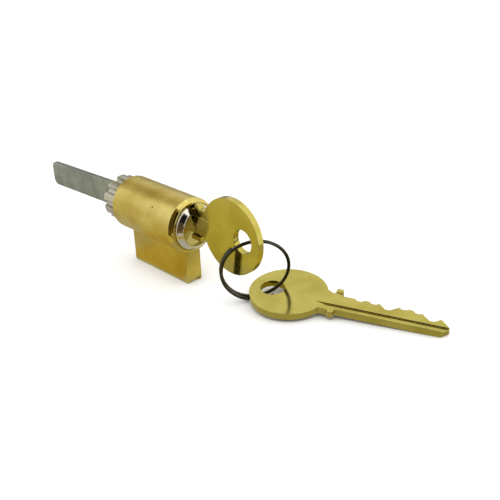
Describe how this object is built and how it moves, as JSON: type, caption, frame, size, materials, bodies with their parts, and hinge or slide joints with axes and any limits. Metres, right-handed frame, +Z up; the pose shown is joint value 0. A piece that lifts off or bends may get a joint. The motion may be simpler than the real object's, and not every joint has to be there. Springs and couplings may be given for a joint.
{
  "type": "lock cylinder",
  "caption": "Pin tumbler lock cylinder: round barrel on a flat pin housing, turning plug, notched screw cap, flat tailpiece, cut key, and a spare key on a split ring.",
  "frame": {"origin": "on the plug's axis, at the front face of the pin housing", "axes": "+Y runs back along the plug's axis to the tailpiece, -Y is where the key goes in, +Z is up and away from the pin housing, +X is right as seen from the front"},
  "size_m": [0.0344, 0.1412, 0.0306],
  "materials": {
    "satin_brass": "satin",
    "nickel": "polished",
    "bright_nickel": "satin",
    "tail_steel": "brushed",
    "key_brass": "satin",
    "dark_steel": "dark, polished",
    "pin_brass": "turned",
    "pin_nickel_silver": "turned",
    "spring_wire": "drawn wire"
  },
  "bodies": {
    "barrel_and_housing": {"shell": "satin_brass", "chamber_cover": "satin_brass", "pin_spring_1": "spring_wire", "pin_spring_2": "spring_wire", "pin_spring_3": "spring_wire", "pin_spring_4": "spring_wire", "pin_spring_5": "spring_wire", "pin_spring_6": "spring_wire"},
    "plug_and_cap": {"plug": "nickel", "plug_cap": "bright_nickel", "cap_pin_spring": "spring_wire"},
    "tail": {"tailpiece": "tail_steel"},
    "cap_pin": {"cap_pin": "pin_brass"},
    "inserted_key": {"key": "key_brass"},
    "ring": {"split_ring": "dark_steel"},
    "hanging_key": {"spare_key": "key_brass"},
    "bottom_pin_1": {"bottom_pin_1": "pin_brass"},
    "driver_pin_1": {"driver_pin_1": "pin_nickel_silver"},
    "bottom_pin_2": {"bottom_pin_2": "pin_brass"},
    "driver_pin_2": {"driver_pin_2": "pin_nickel_silver"},
    "bottom_pin_3": {"bottom_pin_3": "pin_brass"},
    "driver_pin_3": {"driver_pin_3": "pin_nickel_silver"},
    "bottom_pin_4": {"bottom_pin_4": "pin_brass"},
    "driver_pin_4": {"driver_pin_4": "pin_nickel_silver"},
    "bottom_pin_5": {"bottom_pin_5": "pin_brass"},
    "driver_pin_5": {"driver_pin_5": "pin_nickel_silver"},
    "bottom_pin_6": {"bottom_pin_6": "pin_brass"},
    "driver_pin_6": {"driver_pin_6": "pin_nickel_silver"}
  },
  "joints": [
    {"name": "plug_turn", "type": "hinge", "parent": "barrel_and_housing", "child": "plug_and_cap", "pos_m": [0, 0, 0], "axis": [0, 1, 0], "continuous": true},
    {"name": "tail_play", "type": "hinge", "parent": "plug_and_cap", "child": "tail", "pos_m": [0, 0.03, 0], "axis": [0, 1, 0], "range_deg": [-15, 15]},
    {"name": "cap_pin_press", "type": "slide", "parent": "plug_and_cap", "child": "cap_pin", "axis": [0, -1, 0], "range_m": [0, 0.00165], "stiffness_N_per_m": 200, "springref_m": -0.001, "deforming": ["cap_pin_spring"]},
    {"name": "key_slide", "type": "slide", "parent": "plug_and_cap", "child": "inserted_key", "axis": [0, -1, 0], "range_m": [0, 0.034]},
    {"name": "ring_swing", "type": "hinge", "parent": "inserted_key", "child": "ring", "pos_m": [0, -0.02171, 0.00102], "axis": [1, 0, 0], "range_deg": [-60, 45]},
    {"name": "spare_swing", "type": "hinge", "parent": "ring", "child": "hanging_key", "pos_m": [0.00746, -0.02441, -0.01481], "axis": [0, 0, 1], "range_deg": [-12, 90]},
    {"name": "bottom_pin_1_slide", "type": "slide", "parent": "plug_and_cap", "child": "bottom_pin_1", "axis": [0, 0, 1], "range_m": [0, 0.00075]},
    {"name": "driver_pin_1_slide", "type": "slide", "parent": "barrel_and_housing", "child": "driver_pin_1", "axis": [0, 0, -1], "range_m": [0, 0.0026], "stiffness_N_per_m": 100, "springref_m": -0.003, "deforming": ["pin_spring_1"]},
    {"name": "bottom_pin_2_slide", "type": "slide", "parent": "plug_and_cap", "child": "bottom_pin_2", "axis": [0, 0, 1], "range_m": [0, 0.00075]},
    {"name": "driver_pin_2_slide", "type": "slide", "parent": "barrel_and_housing", "child": "driver_pin_2", "axis": [0, 0, -1], "range_m": [0, 0.0026], "stiffness_N_per_m": 100, "springref_m": -0.003, "deforming": ["pin_spring_2"]},
    {"name": "bottom_pin_3_slide", "type": "slide", "parent": "plug_and_cap", "child": "bottom_pin_3", "axis": [0, 0, 1], "range_m": [0, 0.002]},
    {"name": "driver_pin_3_slide", "type": "slide", "parent": "barrel_and_housing", "child": "driver_pin_3", "axis": [0, 0, -1], "range_m": [0, 0.0026], "stiffness_N_per_m": 100, "springref_m": -0.003, "deforming": ["pin_spring_3"]},
    {"name": "bottom_pin_4_slide", "type": "slide", "parent": "plug_and_cap", "child": "bottom_pin_4", "axis": [0, 0, 1], "range_m": [0, 0.0005]},
    {"name": "driver_pin_4_slide", "type": "slide", "parent": "barrel_and_housing", "child": "driver_pin_4", "axis": [0, 0, -1], "range_m": [0, 0.0026], "stiffness_N_per_m": 100, "springref_m": -0.003, "deforming": ["pin_spring_4"]},
    {"name": "bottom_pin_5_slide", "type": "slide", "parent": "plug_and_cap", "child": "bottom_pin_5", "axis": [0, 0, 1], "range_m": [0, 0.00037]},
    {"name": "driver_pin_5_slide", "type": "slide", "parent": "barrel_and_housing", "child": "driver_pin_5", "axis": [0, 0, -1], "range_m": [0, 0.0026], "stiffness_N_per_m": 100, "springref_m": -0.003, "deforming": ["pin_spring_5"]},
    {"name": "bottom_pin_6_slide", "type": "slide", "parent": "plug_and_cap", "child": "bottom_pin_6", "axis": [0, 0, 1], "range_m": [0, 0.0013]},
    {"name": "driver_pin_6_slide", "type": "slide", "parent": "barrel_and_housing", "child": "driver_pin_6", "axis": [0, 0, -1], "range_m": [0, 0.0026], "stiffness_N_per_m": 100, "springref_m": -0.003, "deforming": ["pin_spring_6"]}
  ]
}
